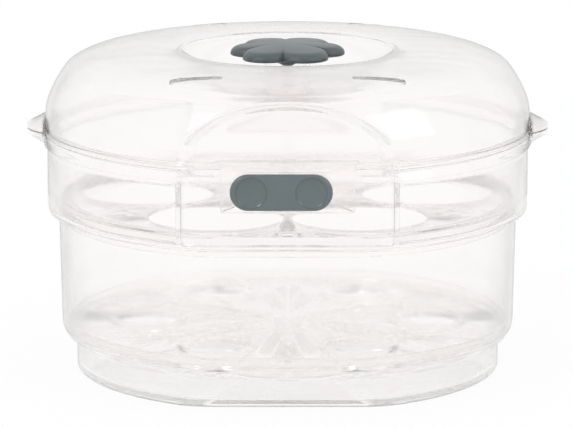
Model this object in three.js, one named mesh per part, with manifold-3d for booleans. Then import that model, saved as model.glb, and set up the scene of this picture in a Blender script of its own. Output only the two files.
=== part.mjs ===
// A microwave bottle sterilizer: a water bowl with a bottle rack in it, a tray with six
// bottle openings on top, and a domed lid that a slide latch at the front locks to the tray.
// Millimetres, +Z up, front towards -Y, origin under the middle of the bowl's foot.
// Every round form is a turned solid whose front and back are cut off flat.
import * as THREE from "three";
import { mergeVertices } from "three/addons/utils/BufferGeometryUtils.js";
import Module from "manifold-3d";

const wasm = await Module();
wasm.setup();

// Driving sizes of the plan
const trayRadius = 129; // outside of the upper tray's wall
const flatDepth = 11.4; // how far its front and back flats are cut in from the round
const trayOverhang = 6; // how far the tray stands out past the bowl
const trayFlatOverhang = 2.6;
const bowlDraft = 1.4; // the bowl's wall leans out this much up to its brim
const footInset = 7.8; // how far the foot stands in under the bowl's wall
const footFlatInset = 12.5;
const bandProud = 2; // the rim bands of the tray and the lid stand out this much
const bandFlatProud = 1.2;
const lidProud = 1;
const lidFlatProud = 0.4;
const earReach = 9; // the side ears stand out this far past the bands
const earRoundRadius = 27; // radius of an ear's outer edge in plan

// Driving heights
const footHeight = 16.6;
const bowlHeight = 86.2;
const trayWallHeight = 36.3; // from the tray's underside to its rim band
const bandHeight = 6.4;
const neckHeight = 3.6;
const lidBandHeight = 2.5;
const domeStart = 6; // straight wall of the lid above its band
const domeHeight = 35.3;

// Walls and fits
const wall = 2.2;
const seat = 0.3; // gap between a piece and what it rests on
const fit = 0.4; // gap at the side of a piece that lifts out
const running = 0.3; // gap around the sliding latch pieces
const overrun = 4; // how far a cutting solid runs past what it cuts
const sink = 0.6; // how far a joined form runs into its carrier
const turnSegments = 48;
const boreSegments = 24;
const openingSegments = 32;

// Bowl
const floorThickness = 2.6;
const standWidth = 9; // the ring that the bowl stands on
const standRecess = 1.2;
const footRound = 3.6;
const shoulderRise = 3;
const shoulderRound = 5;
const brimRound = 0.7;

// Bottle rack
const rackGap = 1.4;
const rackFlatGap = 2;
const rackHeight = 6.5;
const rackPlate = 2.2;
const collarBore = 18.4; // radius
const collarWall = 2.3;
const collarHeight = 2.6;
const ribWidth = 3.6;
const ribHeight = 3;
const hubRadius = 8;
const ventRadius = 2.5;
const rackSlotLength = 14;
const rackSlotWidth = 3.6;

// Upper tray
const trayPlate = 2.2;
const floorDrop = 5.7; // from the tray's floor down to its underside at the wall
const moatWidth = 5;
const skirtGap = 1;
const skirtDepth = 4.5;
const skirtWall = 2;
const openingCount = 6;
const openingWeb = 4; // between two neighbouring openings
const openingLand = 7.3; // between an opening and the skirt
const webSlotLength = 9.5;
const webSlotWidth = 5;
const webSlotInset = 9; // from the skirt's inner face to the slot's middle

// Latch, with the lid's tongue in the tray's front recess
const pocketDepth = 6.6;
const pocketHalfWidth = 54.8;
const tongueHalfWidth = 34.7;
const tongueLength = 23.2;
const tongueThickness = 2.8;
const tongueCorner = 1.5;
const buttonLength = 53;
const buttonHeight = 19;
const buttonThickness = 3.5;
const buttonRound = 0.8;
const dishRadius = 7.6;
const dishDepth = 1.1;
const slideTravel = 6.5;
const trackDepth = 1.1;
const trackMargin = 0.9;
const shankWidth = 12;
const shankHeight = 7;
const barbReach = 0.6;
const barbThickness = 0.5;
const barbGap = 0.3;
const catchPlateThickness = 2.6;
const catchPlateHalfWidth = 25.6;
const catchPlateHeight = 13.6;
const lugOffset = 16.4;
const lugWidth = 5.6;
const lugHeight = 3;
const lugRise = 5.8; // from the plate's lower edge up to the lug
const lugClear = 0.5;

// Lid and its handle well
const ventLength = 27;
const ventWidth = 5;
const ventAcross = 47.5;
const ventForward = 88;
const wellRadius = 58.5;
const wellFloorRadius = 29;
const wellDepth = 17.6;
const postRadius = 12;
const postHeight = 13.4;
const stemHole = 4.2;
const hoodHalfWidth = 36;
const hoodProud = 1.4;
const hoodWidth = 11;

// Lid badge, a plain cap on the post
const badgeRadius = 30.6;
const badgeThickness = 4.6;
const badgeCrown = 1.9;
const badgeRound = 1.2;
const stemRadius = 3.7;
const stemBarb = 0.9;

// Radii and flats that follow
const trayFlat = trayRadius - flatDepth; // flats are measured from the axis
const bowlTopRadius = trayRadius - trayOverhang;
const bowlRadius = bowlTopRadius - bowlDraft;
const bowlFlat = trayFlat - trayFlatOverhang;
const footRadius = bowlRadius - footInset;
const footFlat = bowlFlat - footFlatInset;
const bandRadius = trayRadius + bandProud;
const bandFlat = trayFlat + bandFlatProud;
const lidRadius = trayRadius + lidProud;
const lidFlat = trayFlat + lidFlatProud;
const neckRadius = lidRadius - wall - fit;
const neckFlat = lidFlat - wall - fit;
const skirtRadius = bowlTopRadius - wall - skirtGap;
const skirtFlat = bowlFlat - wall - skirtGap;
const rackRadius = bowlRadius - wall - rackGap;
const rackFlat = bowlFlat - wall - rackFlatGap;
const earRadius = bandRadius + earReach;

// Heights that follow
const shoulderTop = footHeight + shoulderRise + shoulderRound;
const bowlFloor = standRecess + floorThickness;
const rackLedge = footHeight + shoulderRise + wall - seat;
const rackBottom = rackLedge + seat;
const rackTop = rackBottom + rackHeight;
const trayBottom = bowlHeight + seat;
const trayFloor = trayBottom + floorDrop + trayPlate;
const bandBottom = trayBottom + trayWallHeight;
const bandTop = bandBottom + bandHeight;
const neckTop = bandTop + neckHeight;
const lidBottom = bandTop + seat;
const earJoint = bandTop + wall / 2; // top of the tray's ear at its tip
const domeBottom = lidBottom + lidBandHeight + domeStart;
const domeTop = domeBottom + domeHeight;
const wellFloor = domeTop - wellDepth;
const postTop = wellFloor + postHeight;
const badgeBottom = postTop + seat;

// The bottle openings: a ring of six that just clears the skirt and leaves the webs.
const halfStep = Math.PI / openingCount;
const skirtBore = skirtRadius - skirtWall;
const ringRadius = (skirtBore - openingLand + openingWeb / 2) / (1 + Math.sin(halfStep));
const openingRadius = ringRadius * Math.sin(halfStep) - openingWeb / 2;

// The latch, measured outwards from the axis and up from the foot.
const tongueFace = lidFlat;
const tongueBack = tongueFace - tongueThickness;
const tongueBottom = lidBottom - tongueLength;
const trackFloor = tongueFace - trackDepth;
const trackHalfLength = (buttonLength + slideTravel) / 2 + trackMargin;
const trackHeight = buttonHeight + 2 * trackMargin;
const latchHeight = tongueBottom + trackMargin + trackHeight / 2;
const slideRest = -slideTravel / 2;
const pocketWall = trayFlat - pocketDepth;
const pocketBottom = trayBottom + wall;
const notchHalfWidth = tongueHalfWidth + 2 * fit;
const catchPlateFace = tongueBack - running;
const catchPlateBack = catchPlateFace - catchPlateThickness;
const catchPlateBottom = latchHeight - catchPlateHeight / 2;
const lugBottom = catchPlateBottom + lugRise;

// A closed geometry as a solid for joining and cutting.
function solidOf(geometry) {
  const bare = geometry.clone();
  bare.deleteAttribute("normal");
  bare.deleteAttribute("uv");
  const merged = mergeVertices(bare, 1e-4);
  return new wasm.Manifold(
    new wasm.Mesh({
      numProp: 3,
      vertProperties: merged.attributes.position.array,
      triVerts: new Uint32Array(merged.index.array),
    }),
  );
}

// A solid as a geometry with one normal to each face.
function geometryOf(solid) {
  const mesh = solid.getMesh();
  const geometry = new THREE.BufferGeometry();
  geometry.setAttribute("position", new THREE.BufferAttribute(mesh.vertProperties, 3));
  geometry.setIndex(new THREE.BufferAttribute(mesh.triVerts, 1));
  const faceted = geometry.toNonIndexed();
  faceted.computeVertexNormals();
  return faceted;
}

function join(...solids) {
  return solids.reduce((whole, piece) => whole.add(piece));
}

function cut(whole, ...tools) {
  return tools.reduce((rest, tool) => rest.subtract(tool), whole);
}

// A solid turned about the Z axis from an outline of [radius, height], from the bottom up.
function turned(outline) {
  const points = outline.map(([radius, height]) => new THREE.Vector2(radius, height));
  const geometry = new THREE.LatheGeometry(points, turnSegments);
  return solidOf(geometry.rotateX(Math.PI / 2));
}

// A box between two corners.
function block([x0, y0, z0], [x1, y1, z1]) {
  const geometry = new THREE.BoxGeometry(x1 - x0, y1 - y0, z1 - z0);
  return solidOf(geometry.translate((x0 + x1) / 2, (y0 + y1) / 2, (z0 + z1) / 2));
}

// A turned solid whose front and back are cut off at a distance from the axis.
function drum(outline, flat) {
  const heights = outline.map(([, height]) => height);
  const reach = Math.max(...outline.map(([radius]) => radius)) + overrun;
  const low = Math.min(...heights) - overrun;
  const high = Math.max(...heights) + overrun;
  return turned(outline).intersect(block([-reach, -flat, low], [reach, flat, high]));
}

// A drum with straight sides.
function disc(radius, flat, low, high) {
  return drum([[0, low], [radius, low], [radius, high], [0, high]], flat);
}

// An upright round pin or bore.
function pin(radius, low, high, x = 0, y = 0, sides = boreSegments) {
  const geometry = new THREE.CylinderGeometry(radius, radius, high - low, sides);
  return solidOf(geometry.rotateX(Math.PI / 2).translate(x, y, (low + high) / 2));
}

// A quarter round as outline points, about a centre, from one angle to another.
function roundPoints([radius, height], size, from, to, steps = 4) {
  return Array.from({ length: steps + 1 }, (unused, step) => {
    const angle = from + ((to - from) * step) / steps;
    return [radius + size * Math.cos(angle), height + size * Math.sin(angle)];
  });
}

// An obround in the plane of the shape, lying along its first axis.
function obroundShape(length, height) {
  const round = height / 2;
  const straight = length / 2 - round;
  const shape = new THREE.Shape();
  shape.absarc(straight, 0, round, -Math.PI / 2, Math.PI / 2, false);
  shape.absarc(-straight, 0, round, Math.PI / 2, (3 * Math.PI) / 2, false);
  shape.closePath();
  return shape;
}

// A shape pushed through from one height to another.
function raised(shape, low, high, curveSegments = 8) {
  const options = { depth: high - low, bevelEnabled: false, curveSegments };
  return new THREE.ExtrudeGeometry(shape, options).translate(0, 0, low);
}

// A shape drawn across and up, standing at the front between two distances from the axis.
function standing(shape, near, far, middle = 0, height = 0, curveSegments = 8) {
  const geometry = raised(shape, near, far, curveSegments);
  return geometry.rotateX(Math.PI / 2).translate(middle, 0, height);
}

// The solid of a front geometry and of its copy at the back.
function frontAndBack(geometry) {
  return join(solidOf(geometry), solidOf(geometry.clone().rotateZ(Math.PI)));
}

function frontBlock([x0, near, z0], [x1, far, z1]) {
  const geometry = new THREE.BoxGeometry(x1 - x0, far - near, z1 - z0);
  return geometry.translate((x0 + x1) / 2, -(near + far) / 2, (z0 + z1) / 2);
}

// A slot with round ends across a radius, at an angle about the Z axis.
function tangentSlot(length, width, radius, angle, low, high) {
  const geometry = raised(obroundShape(length, width), low, high, 4);
  return solidOf(geometry.rotateZ(Math.PI / 2).translate(radius, 0, 0).rotateZ(angle));
}

function ringOfSix(makeAt, turn = 0) {
  const angles = Array.from({ length: openingCount }, (unused, step) => turn + 2 * halfStep * step);
  return join(...angles.map(makeAt));
}

// The two side ears: a turned beak trimmed by a large round edge on each side.
function ears(outline) {
  const heights = outline.map(([, height]) => height);
  const low = Math.min(...heights) - overrun;
  const high = Math.max(...heights) + overrun;
  const centre = earRadius - earRoundRadius;
  const beak = turned(outline);
  const sides = [1, -1].map((side) => {
    const half = block(
      [side > 0 ? 0 : -earRadius - overrun, -earRadius, low],
      [side > 0 ? earRadius + overrun : 0, earRadius, high],
    );
    return beak.intersect(half).intersect(pin(earRoundRadius, low, high, side * centre, 0, 72));
  });
  return join(...sides);
}

// The bowl: a foot set in under the wall, a ledge for the rack inside, and an open brim.
function makeBowl() {
  const foot = drum(
    [
      [0, 0],
      ...roundPoints([footRadius - footRound, footRound], footRound, -Math.PI / 2, 0),
      [footRadius, footHeight + sink],
      [0, footHeight + sink],
    ],
    footFlat,
  );
  const coneRadius = bowlRadius - shoulderRound / 2;
  const body = drum(
    [
      [0, footHeight],
      [footRadius, footHeight],
      [coneRadius, footHeight + shoulderRise],
      [bowlRadius - shoulderRound / 8, footHeight + shoulderRise + shoulderRound / 2],
      [bowlRadius, shoulderTop],
      [bowlTopRadius, bowlHeight - brimRound],
      [bowlTopRadius - brimRound, bowlHeight],
      [0, bowlHeight],
    ],
    bowlFlat,
  );
  const stand = disc(footRadius - standWidth, footFlat - standWidth, -overrun, standRecess);
  const well = disc(footRadius - wall, footFlat - wall, bowlFloor, rackLedge + sink);
  const inside = drum(
    [
      [0, rackLedge],
      [bowlRadius - wall - rackGap / 2, rackLedge],
      [bowlRadius - wall, rackLedge + rackGap],
      [bowlTopRadius - wall, bowlHeight + overrun],
      [0, bowlHeight + overrun],
    ],
    bowlFlat - wall,
  );
  return cut(join(foot, body), stand, well, inside);
}

// The rack: a perforated plate with a low rim round it and a raised collar at each bottle's
// place.
function makeRack() {
  const plateTop = rackBottom + rackPlate;
  const outer = drum(
    [[0, rackBottom], [rackRadius, rackBottom], [rackRadius, rackTop - brimRound],
      [rackRadius - brimRound, rackTop], [0, rackTop]],
    rackFlat,
  );
  const pan = disc(rackRadius - rackPlate, rackFlat - rackPlate, plateTop, rackTop + overrun);
  const at = (angle, radius = ringRadius) => [radius * Math.cos(angle), radius * Math.sin(angle)];
  const collars = ringOfSix((angle) =>
    pin(collarBore + collarWall, rackBottom, plateTop + collarHeight, ...at(angle)));
  const bores = ringOfSix((angle) =>
    pin(collarBore, rackBottom - overrun, plateTop + collarHeight + overrun, ...at(angle)));
  const ribs = ringOfSix((angle) => {
    const half = ribWidth / 2;
    const rib = new THREE.BoxGeometry(ringRadius, ribWidth, ribHeight + sink);
    rib.translate(ringRadius / 2 - half, 0, plateTop + (ribHeight - sink) / 2).rotateZ(angle);
    return solidOf(rib);
  }, halfStep);
  const hub = pin(hubRadius, rackBottom, plateTop + ribHeight);
  const ventSpread = halfStep - Math.asin((ribWidth + ventRadius) / (ringRadius - collarBore * 2));
  const vents = [1, -1].map((side) => ringOfSix((angle) => {
    const place = at(angle, (ringRadius - collarBore) / 2 + hubRadius / 2);
    return pin(ventRadius, rackBottom - overrun, rackTop + overrun, ...place, 12);
  }, side * ventSpread));
  const slots = ringOfSix((angle) => tangentSlot(
    rackSlotLength, rackSlotWidth, ringRadius + rackSlotWidth + ribWidth, angle,
    rackBottom - overrun, rackTop + overrun,
  ), halfStep);
  return cut(join(cut(outer, pan), collars, ribs, hub), bores, ...vents, slots);
}

// The upper tray: floor with six bottle openings, skirt into the bowl, a recess at the front
// and back for the lid's tongues, rim band, and the neck that the lid goes over.
function makeTray() {
  const edge = floorDrop / 2;
  const shell = drum(
    [
      [0, trayBottom],
      [trayRadius - edge, trayBottom],
      [trayRadius - edge / 3, trayBottom + edge / 2],
      [trayRadius - brimRound, trayBottom + edge + brimRound],
      [trayRadius, bandBottom + sink],
      [0, bandBottom + sink],
    ],
    trayFlat,
  );
  const band = drum(
    [
      [0, bandBottom],
      [bandRadius - brimRound, bandBottom],
      [bandRadius, bandBottom + brimRound],
      [bandRadius, bandTop - brimRound],
      [bandRadius - brimRound, bandTop],
      [0, bandTop],
    ],
    bandFlat,
  );
  const neck = drum(
    [
      [0, bandTop - sink],
      [neckRadius, bandTop - sink],
      [neckRadius, neckTop - brimRound],
      [neckRadius - brimRound, neckTop],
      [0, neckTop],
    ],
    neckFlat,
  );
  const skirt = disc(skirtRadius, skirtFlat, trayBottom - skirtDepth, trayBottom + sink);
  const plateBottom = trayFloor - trayPlate;
  const underFlat = Math.min(skirtFlat - skirtWall, pocketWall - wall);
  const under = disc(skirtBore, underFlat, trayBottom - skirtDepth - overrun, plateBottom);

  const inRadius = trayRadius - wall;
  const inFlat = trayFlat - wall;
  const jog = neckRadius - wall;
  const room = drum(
    [
      [0, trayFloor],
      [inRadius - brimRound, trayFloor],
      [inRadius, bandBottom - wall],
      [jog, bandTop - wall],
      [jog, neckTop + overrun],
      [0, neckTop + overrun],
    ],
    Math.min(inFlat, neckFlat - wall),
  );
  const moat = cut(
    disc(inRadius - brimRound, inFlat, trayBottom + trayPlate, trayFloor + sink),
    disc(inRadius - moatWidth, inFlat - moatWidth, trayBottom, trayFloor + overrun),
  );
  const pocketSlabs = (spread, near, low, high) => join(
    frontAndBack(frontBlock(
      [-pocketHalfWidth - spread, near, low - spread],
      [pocketHalfWidth + spread, bandFlat + overrun, bandBottom + spread],
    )),
    frontAndBack(frontBlock(
      [-notchHalfWidth - spread, near, low - spread],
      [notchHalfWidth + spread, bandFlat + overrun, high],
    )),
  );
  const bandRecess = frontAndBack(frontBlock(
    [-pocketHalfWidth, neckFlat, bandBottom - sink], [pocketHalfWidth, bandFlat + overrun, bandTop],
  ));
  const pockets = join(pocketSlabs(0, pocketWall, pocketBottom, neckTop + overrun), bandRecess);
  const backing = pocketSlabs(wall, pocketWall - wall, pocketBottom, neckTop + 2 * overrun);
  const hollow = cut(join(room, moat), backing);

  const at = (angle) => [ringRadius * Math.cos(angle), ringRadius * Math.sin(angle)];
  const openings = ringOfSix((angle) =>
    pin(openingRadius, trayBottom - overrun, trayFloor + overrun, ...at(angle), openingSegments));
  const webSlots = ringOfSix((angle) => tangentSlot(
    webSlotLength, webSlotWidth, skirtFlat - skirtWall - webSlotInset, angle,
    plateBottom - overrun, trayFloor + overrun,
  ), halfStep);
  const lugs = [1, -1].map((side) => solidOf(frontBlock(
    [side * lugOffset - lugWidth / 2, pocketWall - sink, lugBottom],
    [side * lugOffset + lugWidth / 2, catchPlateFace - running, lugBottom + lugHeight],
  )));
  const beak = ears([
    [trayRadius - wall / 2, bandBottom - lidProud],
    [earRadius - brimRound, earJoint - wall - brimRound],
    [earRadius, earJoint - wall],
    [earRadius, earJoint - brimRound / 2],
    [earRadius - brimRound, earJoint],
    [trayRadius - wall / 2, bandBottom + wall + lidProud],
    [trayRadius - wall / 2, bandBottom - lidProud],
  ]);
  const body = cut(join(shell, band, neck, skirt), under, hollow, pockets, openings, webSlots);
  return join(body, beak, ...lugs);
}

// The dome's outline as shares of the lid's radius and of the dome's height.
const domeShares = [
  [1, 0], [0.993, 0.2], [0.973, 0.386], [0.949, 0.555], [0.927, 0.677], [0.908, 0.762],
  [0.883, 0.825], [0.846, 0.887], [0.795, 0.937], [0.73, 0.968], [0.64, 0.99], [0.54, 1],
];
// The handle well's side as shares of its width and of its depth, from the floor up.
const wellShares = [[0, 0], [0.17, 0.09], [0.44, 0.335], [0.72, 0.655], [0.92, 0.92], [1, 0.98]];

// The lid's turned outline, moved inwards by a wall for its inner face.
function domePoints(inset) {
  return domeShares.map(([radiusShare, heightShare]) => [
    lidRadius * radiusShare - inset * Math.sqrt(1 - heightShare ** 2),
    domeBottom + domeHeight * heightShare - inset * heightShare,
  ]);
}

function wellPoints(inset) {
  const width = wellRadius - wellFloorRadius;
  return wellShares.map(([widthShare, depthShare]) => [
    wellFloorRadius + width * widthShare + (inset * (1 + depthShare)) / 2,
    wellFloor + wellDepth * depthShare - inset,
  ]).reverse();
}

// The lid: a dome with a well around the post that carries the badge, flat front and back
// with a hood over each, vents, rim band, ears, and a tongue at the front and back. The
// front one carries the latch.
function makeLid() {
  const bandHigh = lidBottom + lidBandHeight;
  const fillet = postRadius / 4;
  const outer = drum(
    [
      [0, lidBottom], [lidRadius, lidBottom],
      ...domePoints(0),
      ...wellPoints(0),
      [postRadius + fillet, wellFloor], [postRadius + fillet / 3, wellFloor + fillet / 3],
      [postRadius, wellFloor + fillet], [postRadius, postTop], [0, postTop],
    ],
    lidFlat,
  );
  const inner = drum(
    [
      [0, lidBottom - overrun], [lidRadius - wall, lidBottom - overrun],
      ...domePoints(wall),
      ...wellPoints(wall),
      [postRadius + fillet / 3, wellFloor - wall], [postRadius - wall, wellFloor],
      [postRadius - wall, postTop - wall], [0, postTop - wall],
    ],
    lidFlat - wall,
  );
  const band = cut(
    drum(
      [
        [0, lidBottom],
        [bandRadius - brimRound, lidBottom],
        [bandRadius, lidBottom + brimRound],
        [bandRadius, bandHigh - brimRound],
        [bandRadius - brimRound, bandHigh],
        [0, bandHigh],
      ],
      bandFlat,
    ),
    disc(lidRadius - wall, lidFlat - wall, lidBottom - overrun, bandHigh + overrun),
    frontAndBack(frontBlock(
      [-pocketHalfWidth, lidFlat, lidBottom - overrun],
      [pocketHalfWidth, bandFlat + overrun, bandHigh + overrun],
    )),
  );
  const raisedDome = turned([[0, domeBottom], ...domePoints(-hoodProud), [0, domeTop + hoodProud]]);
  const hoodInner = lidFlat - hoodWidth;
  const hoods = cut(
    raisedDome.intersect(block([-hoodHalfWidth, -lidFlat, domeBottom], [hoodHalfWidth, lidFlat, domeTop])),
    turned([[0, domeBottom], ...domePoints(sink), [0, domeTop - sink]]),
    pin(hoodInner, domeBottom - overrun, domeTop + overrun, 0, 0, turnSegments),
  );
  const beak = ears([
    [lidRadius - wall / 2, bandHigh + wall],
    [earRadius - brimRound, earJoint + seat],
    [earRadius, earJoint + seat + brimRound / 2],
    [earRadius, earJoint + seat + wall],
    [earRadius - brimRound, earJoint + seat + wall + brimRound / 2],
    [lidRadius - wall / 2, bandHigh + domeStart],
    [lidRadius - wall / 2, bandHigh + wall],
  ]);

  const tongueShape = new THREE.Shape();
  const low = tongueBottom - latchHeight;
  const high = bandHigh - latchHeight - brimRound;
  tongueShape.moveTo(-tongueHalfWidth, high);
  tongueShape.lineTo(-tongueHalfWidth, low + tongueCorner);
  tongueShape.absarc(tongueCorner - tongueHalfWidth, low + tongueCorner, tongueCorner, Math.PI, 1.5 * Math.PI);
  tongueShape.absarc(tongueHalfWidth - tongueCorner, low + tongueCorner, tongueCorner, 1.5 * Math.PI, 2 * Math.PI);
  tongueShape.lineTo(tongueHalfWidth, high);
  tongueShape.closePath();
  const tongues = frontAndBack(standing(tongueShape, tongueBack, tongueFace, 0, latchHeight));
  const track = obroundShape(2 * trackHalfLength, trackHeight);
  const latchTrack = solidOf(standing(track, trackFloor, tongueFace + overrun, 0, latchHeight));
  const slotHalf = (shankWidth + slideTravel) / 2 + running;
  const slot = solidOf(frontBlock(
    [-slotHalf, tongueBack - overrun, latchHeight - shankHeight / 2 - running],
    [slotHalf, tongueFace + overrun, latchHeight + shankHeight / 2 + running],
  ));
  const vents = [1, -1].map((side) => frontAndBack(
    raised(obroundShape(ventLength, ventWidth), wellFloor, domeTop + overrun, 4)
      .translate(side * ventAcross, -ventForward, 0),
  ));
  const bore = pin(stemHole, wellFloor, domeTop);
  const shell = cut(outer, inner, ...vents, bore);
  return cut(join(shell, band, beak, hoods, tongues), latchTrack, slot);
}

// The badge's lobes as shares of its radius: middle across, middle forward, and size.
const lobeShares = [
  [0.64, 0.03, 0.36], [0.3, 0.52, 0.45], [-0.37, 0.5, 0.42],
  [-0.66, 0.02, 0.34], [-0.39, -0.54, 0.39], [0.27, -0.53, 0.44],
];
const badgePoints = 54;

// The badge's outline: at each angle the far side of the lobe that reaches furthest.
function badgeShape() {
  const points = Array.from({ length: badgePoints }, (unused, step) => {
    const angle = (2 * Math.PI * step) / badgePoints;
    const reaches = lobeShares.map(([across, forward, size]) => {
      const along = across * Math.cos(angle) + forward * Math.sin(angle);
      const inside = size ** 2 - across ** 2 - forward ** 2 + along ** 2;
      return inside > 0 ? along + Math.sqrt(inside) : 0;
    });
    const reach = badgeRadius * Math.max(...reaches);
    return new THREE.Vector2(reach * Math.cos(angle), reach * Math.sin(angle));
  });
  return new THREE.Shape(points);
}

// The badge: a lobed cap with a low crown, and a stem that snaps into the lid's post.
function makeBadge() {
  const options = {
    depth: badgeThickness - badgeRound,
    bevelThickness: badgeRound,
    bevelSize: badgeRound,
    bevelOffset: -badgeRound,
    bevelSegments: 1,
  };
  const slab = new THREE.ExtrudeGeometry(badgeShape(), options);
  const cap = solidOf(slab.translate(0, 0, badgeBottom + badgeRound));
  const crownRadius = badgeRadius * 0.6;
  const capTop = badgeBottom + badgeThickness + badgeRound;
  const crown = turned([
    [0, badgeBottom + badgeThickness / 2],
    [crownRadius, badgeBottom + badgeThickness / 2],
    [crownRadius, capTop],
    [crownRadius * 0.7, capTop + (badgeCrown - badgeRound) * 0.6],
    [0, capTop + badgeCrown - badgeRound],
  ]);
  const tip = postTop - wall - seat;
  const stem = turned([
    [0, tip - 3 * stemBarb],
    [stemRadius - stemBarb / 2, tip - 3 * stemBarb],
    [stemRadius + stemBarb, tip - stemBarb],
    [stemRadius + stemBarb, tip],
    [stemRadius, tip],
    [stemRadius, badgeBottom + sink],
    [0, badgeBottom + sink],
  ]);
  return join(cap, crown, stem);
}

// The slide button: an obround cap with a finger dish at each end, and the barbed shank
// that goes through the tongue.
function makeButton() {
  const capBack = trackFloor + running;
  const capFace = capBack + buttonThickness;
  const height = buttonHeight;
  const cap = solidOf(standing(obroundShape(buttonLength, height), capBack, capFace - buttonRound, 0, 0));
  const face = solidOf(standing(
    obroundShape(buttonLength - 2 * buttonRound, height - 2 * buttonRound),
    capBack + buttonRound, capFace, 0, 0,
  ));
  const dishes = [1, -1].map((side) => {
    const dish = new THREE.CylinderGeometry(dishRadius, dishRadius - dishDepth, dishDepth + overrun, boreSegments);
    dish.translate(side * (buttonLength - height) / 2, -capFace + dishDepth - (dishDepth + overrun) / 2, 0);
    return solidOf(dish);
  });
  const shankBack = catchPlateBack - barbGap - barbThickness;
  const half = shankWidth / 2;
  const shank = solidOf(frontBlock(
    [-half, shankBack, -shankHeight / 2], [half, capBack + sink, shankHeight / 2],
  ));
  const barb = solidOf(frontBlock(
    [-half, shankBack, -shankHeight / 2 - barbReach],
    [half, shankBack + barbThickness, shankHeight / 2 + barbReach],
  ));
  return cut(join(cap, face, shank, barb), ...dishes);
}

// The catch plate behind the tongue: each notch lets a lug of the tray out downwards when
// the latch is open, and its hook goes under the lug when the button is slid across.
function makeCatchPlate() {
  const low = -catchPlateHeight / 2;
  const outline = obroundShape(2 * catchPlateHalfWidth, catchPlateHeight);
  const plate = solidOf(standing(outline, catchPlateBack, catchPlateFace));
  const bore = solidOf(frontBlock(
    [-shankWidth / 2 - running, catchPlateBack - overrun, -shankHeight / 2 - running],
    [shankWidth / 2 + running, catchPlateFace + overrun, shankHeight / 2 + running],
  ));
  const notches = [1, -1].flatMap((side) => {
    const middle = side * lugOffset - slideRest;
    const right = middle + lugWidth / 2 + lugClear;
    const left = middle - lugWidth / 2 - lugClear;
    const top = low + lugRise + lugHeight + lugClear;
    const near = catchPlateBack - overrun;
    const far = catchPlateFace + overrun;
    return [
      frontBlock([left, near, low - overrun], [right, far, top]),
      frontBlock([left - slideTravel, near, low + lugRise - lugClear], [right, far, top]),
    ];
  });
  return cut(plate, bore, ...notches.map(solidOf));
}

const clearPlastic = { color: 0xf1f0ee, roughness: 0.18, metalness: 0, transparent: true, opacity: 0.45 };
const slatePlastic = { color: 0x6a7678, roughness: 0.38, metalness: 0 };

function named(name, solid, finish) {
  const mesh = new THREE.Mesh(geometryOf(solid), new THREE.MeshStandardMaterial(finish));
  mesh.name = name;
  return mesh;
}

// The latch at its place on the lid's front tongue.
function makeLatch() {
  const latch = new THREE.Group();
  latch.add(
    named("slide_button", makeButton(), slatePlastic),
    named("catch_plate", makeCatchPlate(), slatePlastic),
  );
  latch.position.set(slideRest, 0, latchHeight);
  return latch;
}

const sterilizer = new THREE.Group();
sterilizer.add(
  named("base_bowl", makeBowl(), clearPlastic),
  named("bottle_rack", makeRack(), clearPlastic),
  named("upper_tray", makeTray(), clearPlastic),
  named("lid", makeLid(), clearPlastic),
  named("lid_badge", makeBadge(), slatePlastic),
  makeLatch(),
);

export default sterilizer;
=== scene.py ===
"""The looks of a microwave bottle sterilizer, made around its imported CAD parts.

Sizes are in millimetres and become metres when a mesh is made. +Z is up, the front faces -Y.
Every clear vessel is a closed wall of real thickness, lofted from rings: a ring is a circle
whose front and back are held in by two flats, and a path of rings makes the whole wall.
"""

import logging
import math
from dataclasses import dataclass, replace
from enum import Enum
from typing import Optional, Sequence, Union

import bmesh
import bpy
import numpy as np
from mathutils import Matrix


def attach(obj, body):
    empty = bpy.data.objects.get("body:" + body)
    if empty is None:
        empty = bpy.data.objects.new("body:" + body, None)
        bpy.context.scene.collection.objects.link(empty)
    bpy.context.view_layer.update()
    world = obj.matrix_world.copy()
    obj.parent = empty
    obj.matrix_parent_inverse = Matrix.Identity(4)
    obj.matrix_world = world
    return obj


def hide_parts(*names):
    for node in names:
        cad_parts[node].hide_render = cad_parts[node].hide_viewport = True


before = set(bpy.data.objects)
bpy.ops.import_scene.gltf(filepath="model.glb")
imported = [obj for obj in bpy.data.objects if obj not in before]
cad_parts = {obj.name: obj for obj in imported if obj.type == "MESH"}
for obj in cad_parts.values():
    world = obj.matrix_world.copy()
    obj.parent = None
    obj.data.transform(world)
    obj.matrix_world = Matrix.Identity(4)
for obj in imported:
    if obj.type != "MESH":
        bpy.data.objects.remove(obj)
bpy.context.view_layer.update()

Array = np.ndarray
Corners = Sequence[Sequence[float]]
Socket = bpy.types.NodeSocket
Thing = bpy.types.Object

LOG = logging.getLogger("sterilizer")
METRES = 0.001
TURN = 360  # points round a vessel
BEND = 9.0  # width of the bend where a flat runs into the round, in millimetres
OPEN = 1e6  # a flat so far out that it holds nothing in
PLACES = 6  # bottles round the axis
EAR_REACH = 140.0  # from the axis to an ear's tip
EAR_ROUND = 27.0  # radius of an ear's edge in plan
EAR_SPREAD = 11.6  # half the angle that an ear takes, in degrees


class Slot(Enum):
    """The record's material slots."""

    CLEAR = "clear_plastic"
    SLATE = "slate_plastic"


# Surfaces


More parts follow.
